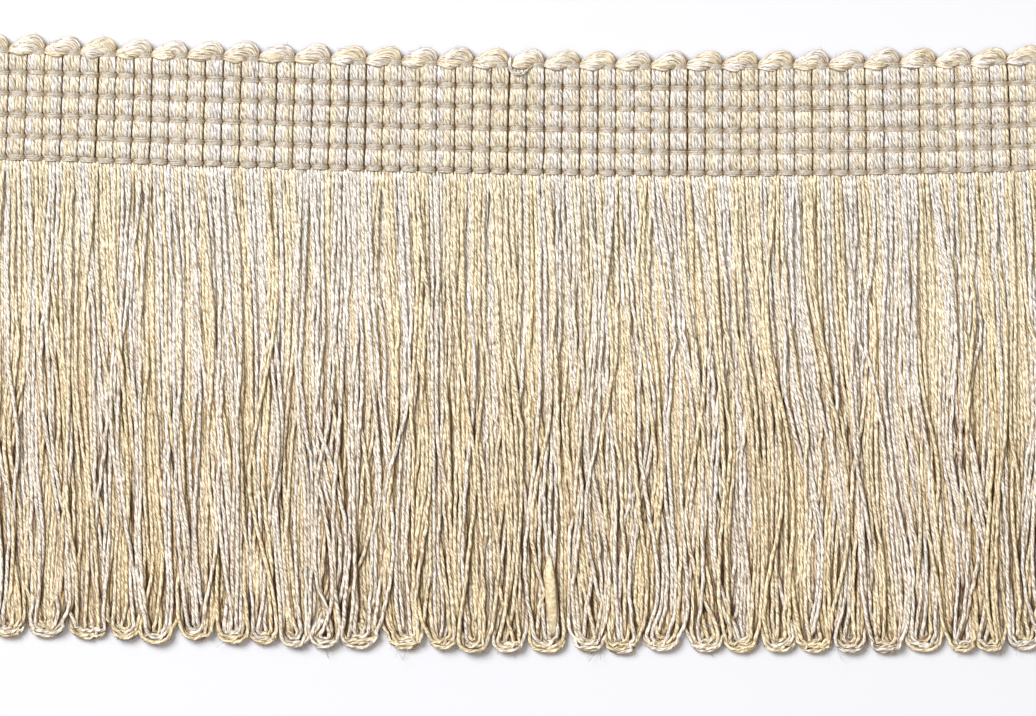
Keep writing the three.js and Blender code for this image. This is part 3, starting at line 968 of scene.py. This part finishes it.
    def smooth(self):
        """Straightens every yarn a little, as its stiffness does."""
        bend = self.x[:, :-2] + self.x[:, 2:] - 2 * self.x[:, 1:-1]
        self.x[:, 1:-1] += self.bending * bend
        left, right = self.z[: self.yarns], self.z[self.yarns : 2 * self.yarns, ::-1]
        height = np.concatenate([left, self.arc_z, right], axis=1)
        height[:, 1:-1] += LIFT_SMOOTHING * (height[:, :-2] + height[:, 2:] - 2 * height[:, 1:-1])
        self.z[: self.yarns] = height[:, :LEG_STATIONS]
        self.arc_z = height[:, LEG_STATIONS:-LEG_STATIONS]
        self.z[self.yarns : 2 * self.yarns] = height[:, -LEG_STATIONS:][:, ::-1]
        cut = self.z[2 * self.yarns :]
        cut[:, 1:-1] += LIFT_SMOOTHING * (cut[:, :-2] + cut[:, 2:] - 2 * cut[:, 1:-1])

    def settle(self):
        """Lets the yarns sink onto the floor and onto each other."""
        start, end = self.x[:, 0].copy(), self.x[:, -1].copy()
        start_z = np.where(self.in_front, BAND_PINCH, BACK_ROOT_HEIGHT)
        puffed_z = np.where(self.in_front, *PUFFED_HEIGHTS)
        for step in range(SETTLE_STEPS):
            sinking = SINKING if step < SETTLE_STEPS - STILL_STEPS else 0.0
            self.x += self.pull * (self.aim - self.x)
            self.z -= sinking
            self.arc_z -= sinking
            self.smooth()
            self.spread_legs()
            self.spread_arcs()
            self.x[:, 0], self.x[:, -1] = start, end
            self.z[:, 0], self.z[:, 1] = start_z, puffed_z
            self.z = np.maximum(self.z, REST_HEIGHT)
            self.arc_z = np.maximum(self.arc_z, REST_HEIGHT)

    def bury(self):
        """Finds how much other yarn lies over and under each station of the legs and arcs, which sets
        their painted shade.

        seen is the share of each leg's stations where no other yarn lies over its middle.
        """
        order, x, z = self.legs_in_order()
        over_left, over_right, under = np.zeros((3,) + z.shape)
        hidden = np.zeros(z.shape, bool)
        for step in NEIGHBOURS:
            across, rise = x[step:] - x[:-step], z[step:] - z[:-step]
            near = across < HIDDEN_WITHIN
            hidden[:-step] |= near & (rise > HIDDEN_BELOW)
            hidden[step:] |= near & (-rise > HIDDEN_BELOW)
            rise = rise * covering(across)
            over_right[:-step] = np.maximum(over_right[:-step], rise)
            over_left[step:] = np.maximum(over_left[step:], -rise)
            under[:-step] = np.maximum(under[:-step], -rise)
            under[step:] = np.maximum(under[step:], rise)
        # Painted shade grows towards the loop ends and is cut near the roots.
        by_root, by_end = OVER_SHARE
        shade_by_drop = by_root + (by_end - by_root) * self.share
        top_shade_cut = TOP_SHADE_CUT * (1 - smooth_step(self.share / 0.6))
        self.over = own_rows(order, (over_left + over_right) / 2 * shade_by_drop - top_shade_cut)
        self.under = own_rows(order, under)
        self.seen = 1 - own_rows(order, hidden).mean(axis=1)
        shape = (self.loops, SLOTS, ARC_STATIONS)
        height, distance = self.arc_z.reshape(shape), self.arc.reshape(shape)
        rise = height[:, None, :] - height[:, :, None]
        rise = rise * covering(distance[:, None, :] - distance[:, :, None])
        self.arc_over = ARC_OVER_SHARE * rise.max(axis=2).reshape(self.arc.shape)
        self.arc_under = -rise.min(axis=2).reshape(self.arc.shape)

    def leg_points(self, row):
        """A leg's stations from its root down, with what lies over and under each."""
        y = self.root_y[row] + (self.end_y[row] - self.root_y[row]) * self.share
        return np.stack([self.x[row], y, self.z[row], self.over[row], self.under[row]], axis=1)

    def line(self, yarn):
        """The whole line of a looped yarn, from its left root round to its right root."""
        loop = yarn // SLOTS
        angle = math.pi * np.arange(1, ARC_STATIONS + 1) / (ARC_STATIONS + 1)
        across, down = -np.cos(angle), np.sin(angle) ** ARC_SQUARENESS
        across = np.sign(across) * np.abs(across) ** ARC_SQUARENESS
        x = self.centre_x[loop] + self.arc[yarn] * across
        y = self.centre_y[loop] - ARC_FLATNESS * self.arc[yarn] * down
        carried = self.arc_z[yarn], self.arc_over[yarn], self.arc_under[yarn]
        left, right = self.leg_points(yarn), self.leg_points(self.yarns + yarn)
        return np.concatenate([left, np.stack([x, y, *carried], axis=1), right[::-1]])

    def nearest_gold(self, x, y):
        """The gold looped yarn that lies highest and nearest to a place."""
        station = np.abs(self.root_y[0] + (self.end_y[0] - self.root_y[0]) * self.share - y).argmin()
        rows = [row for row in range(2 * self.yarns) if IS_GOLD[row % SLOTS]]
        cost = [abs(self.x[row, station] - x) - self.z[row, station] for row in rows]
        return rows[int(np.argmin(cost))] % self.yarns


def yarn_section(line, tone):
    """A yarn's radius and flatness along it: tight and flat by the heading, rounder below."""
    gone = distances_along(line)
    from_root = np.minimum(gone, gone[-1] - gone)
    free = smooth_step(from_root / 9.0)
    uneven = 0.035 * (np.sin(gone / 3.1 + 40 * tone) * np.sin(gone / 7.7 + 90 * tone))
    flatness = TIGHT_FLATNESS + (YARN_FLATNESS - TIGHT_FLATNESS) * smooth_step(from_root / 40.0)
    return TIGHT_RADIUS + (YARN_RADIUS - TIGHT_RADIUS + uneven) * free, flatness[:, None]


def crinkled(line, tone):
    """The line with the small bends that a yarn keeps from its twist."""
    at = np.arange(len(line)) * FINE_SPACING
    free = smooth_step(np.minimum(at, at[::-1]) / 7.0)
    line = line.copy()
    patchy = 1 + np.sin(at / 7.3 + 20 * tone)
    line[:, 0] += free * (
        0.045 * patchy * np.sin(at / 0.8 + 70 * tone) + 0.06 * np.sin(at / 3.9 + 31 * tone + at / 23)
    )
    line[:, 2] += free * 0.04 * np.sin(at / 2.3 + 55 * tone)
    line[:, 2] = np.maximum(line[:, 2], REST_HEIGHT)
    return line


def add_fringe_yarn(strands, line, kind, tone, section, sides):
    """line is the yarn's points with what lies over and under them, section radius and flatness."""
    radius, flatness = section
    strands.add(
        line[:, :3], radius, more_golden_at_ends(warmth_of(kind), line), tone, line[:, 3], line[:, 4],
        sides, flatness=flatness,
    )


def fringe_strands(orders, tones):
    """The fringe's yarns: four bunches drawn finely, and one, mostly hidden, drawn coarsely."""
    fringe = Fringe(orders)
    fringe.settle()
    fringe.bury()
    fine = [Strands(f"fringe_{name}") for name in ("gold_a", "gold_b", "silver_a", "silver_b")]
    coarse, slub = Strands("fringe_under"), Strands("slub")
    slubbed = fringe.nearest_gold(*SLUB_PLACE)
    for yarn in range(fringe.yarns):
        loop, kind = divmod(yarn, SLOTS)
        tone = (tones[kind] + 0.73 * loop) % 1.0
        in_sight = (fringe.seen[yarn] + fringe.seen[fringe.yarns + yarn]) / 2
        line = fringe.line(yarn)
        if in_sight > COARSE_BELOW:
            bunch, sides = fine[(0 if IS_GOLD[kind] else 2) + loop % 2], SIDES
            line = crinkled(evenly_on_curve(line, FINE_SPACING), tone)
        else:
            bunch, sides = coarse, SIDES - 1
            line = evenly_on_curve(line, COARSE_SPACING)
        add_fringe_yarn(bunch, line, kind, tone, yarn_section(line, tone), sides)
        if yarn == slubbed:
            add_slub(slub, line[:, :3])
    for row in range(2 * fringe.yarns, len(fringe.x)):
        kind = row % SLOTS
        tone = (tones[kind] + 0.31 * row) % 1.0
        line = crinkled(evenly_on_curve(fringe.leg_points(row), FINE_SPACING), tone)
        bunch = fine[0 if IS_GOLD[kind] else 2]
        add_fringe_yarn(bunch, line, kind, tone, (YARN_RADIUS, YARN_FLATNESS), SIDES)
    return fine + [coarse], slub


def add_slub(strands, line):
    """The thick place of one gold yarn, where its fibres lie flat and untwisted."""
    from_slub = np.hypot(line[:, 0] - SLUB_PLACE[0], line[:, 1] - SLUB_PLACE[1])
    nearest = int(np.argmin(from_slub))
    reach = int(SLUB_LENGTH / 2 / np.linalg.norm(line[nearest + 1] - line[nearest]))
    part = line[nearest - reach : nearest + reach + 1].copy()
    swell = np.sin(np.linspace(0.0, math.pi, len(part))) ** 0.6
    part[:, 0] += SLUB_STRAIGHTNESS * (SLUB_PLACE[0] - part[:, 0])
    part[:, 2] += SLUB_LIFT * swell**0.5
    radii = SLUB_END_RADIUS + (SLUB_RADIUS - SLUB_END_RADIUS) * swell
    strands.add(part, radii, 0.95, 0.4, sides=8, pitch=60.0, flatness=SLUB_FLATNESS)


def fuzz(sources):
    """Short loose fibres that stand off the yarns, most of them at the loop ends and scallops."""
    strands = Strands("fuzz")
    lines = [pair for source in sources for pair in source.lines]
    steps = np.linspace(0.0, 1.0, 4)[:, None]
    for _ in range(FIBRES):
        line, radius = lines[random.integers(len(lines))]
        looped = len(line) > MANY_POINTS
        spread = 0.03 if looped and random.uniform() < AT_LOOP_ENDS else 0.5
        at = 0.5 + random.uniform(-spread, spread) * 0.98
        index = min(len(line) - 2, max(1, int(at * len(line))))
        along = unit(line[index + 1] - line[index - 1]) * random.choice((-1, 1))
        out = chance(1.0, 3)
        out[2] = abs(out[2])
        out = unit(out)
        length = random.uniform(0.6, 1.9) if looped else random.uniform(0.4, 1.1)
        bend = chance(0.3, 3) * length
        path = line[index] + 0.8 * radius[index] * out
        path = path + steps * length * (0.9 * along + 0.25 * out) + steps**2 * bend
        path[:, 2] = np.maximum(path[:, 2], 0.05)
        warmth = random.uniform(0.0, 0.6)
        strands.add(path, random.uniform(*FIBRE_RADII), warmth, random.uniform(), sides=3)
    return strands


# The stage

def stage(material):
    size = 3.0
    points = np.array([[-size, -size, 0], [size, -size, 0], [size, size, 0], [-size, size, 0]]) / MM
    floor = mesh_piece("floor", [points], [np.arange(4)], [[4]], {}, {}, material)


def area_light(name, place, size, power, colour):
    light = bpy.data.lights.new(name, "AREA")
    light.energy = power
    light.color = colour
    light.size = size
    lamp = in_scene(name, light)
    lamp.location = place
    target = in_scene(name + "_aim", None)
    target.location = (*VIEW_CENTRE, 0.0)
    lamp.constraints.new("TRACK_TO").target = target


def lights():
    """A cool key light from the upper left, a soft fill from above and a warm surrounding."""
    area_light("key", (-1.1, 0.9, 1.55), size=1.1, power=66.5, colour=(0.93, 0.962, 1.0))
    area_light("fill", (0.2, -0.3, 2.2), size=2.2, power=16.5, colour=(1.0, 0.97, 0.92))
    world = bpy.data.worlds.new("studio")
    world.use_nodes = True
    around = world.node_tree.nodes["Background"]
    around.inputs["Color"].default_value = (1.0, 0.88, 0.7, 1.0)
    around.inputs["Strength"].default_value = 0.28
    bpy.context.scene.world = world


def camera():
    lens = bpy.data.cameras.new("camera")
    lens.sensor_width = SENSOR_WIDTH
    lens.lens = SENSOR_WIDTH * CAMERA_HEIGHT * PHOTO_SCALE / PHOTO_WIDTH
    eye = in_scene("camera", lens)
    eye.location = (*VIEW_CENTRE, CAMERA_HEIGHT * MM)
    bpy.context.scene.camera = eye


def main():
    orders, tones = slot_orders(), yarn_tones()
    fringe_yarn = yarn_material("fringe yarn", brightness=1.03, dye=0.93, fleck=1.3, softness=0.19)
    # brightness 0.95 paints the heading's yarn darker than the same yarn in the fringe: painted shade
    # against the light on its upturned blocks.
    heading_yarn = yarn_material("heading yarn", brightness=0.95, dye=0.74, fleck=1.0, softness=0.26)
    soft_yarn = yarn_material("soft yarn", brightness=1.03, dye=0.72, fleck=0.6, softness=0.3)
    slub_yarn = yarn_material("slub yarn", brightness=0.92, dye=0.95, fleck=1.7, softness=0.5)
    warp, gap_shade = warp_material(), gap_shade_material()
    weft = heading_weft(orders, tones)
    crown = scallops(tones)
    binding = heading_warp()
    skirt, slub = fringe_strands(orders, tones)
    loose = fuzz([crown] + skirt)
    # A dark sheet under the heading's yarns: painted shade in the gaps between them.
    cloth = gap_shade_sheet(gap_shade)
    heading_pieces = [weft.piece(heading_yarn), crown.piece(soft_yarn), binding.piece(warp)]
    fringe_pieces = [strands.piece(fringe_yarn) for strands in skirt + [loose]]
    fringe_pieces.append(slub.piece(slub_yarn))
    for piece in heading_pieces + [cloth]:
        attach(piece, "root")
        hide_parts("heading")
    for piece in fringe_pieces:
        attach(piece, "root")
        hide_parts("fringe")
    stage(floor_material())
    lights()
    camera()
    bpy.context.scene.view_settings.view_transform = "Standard"


main()
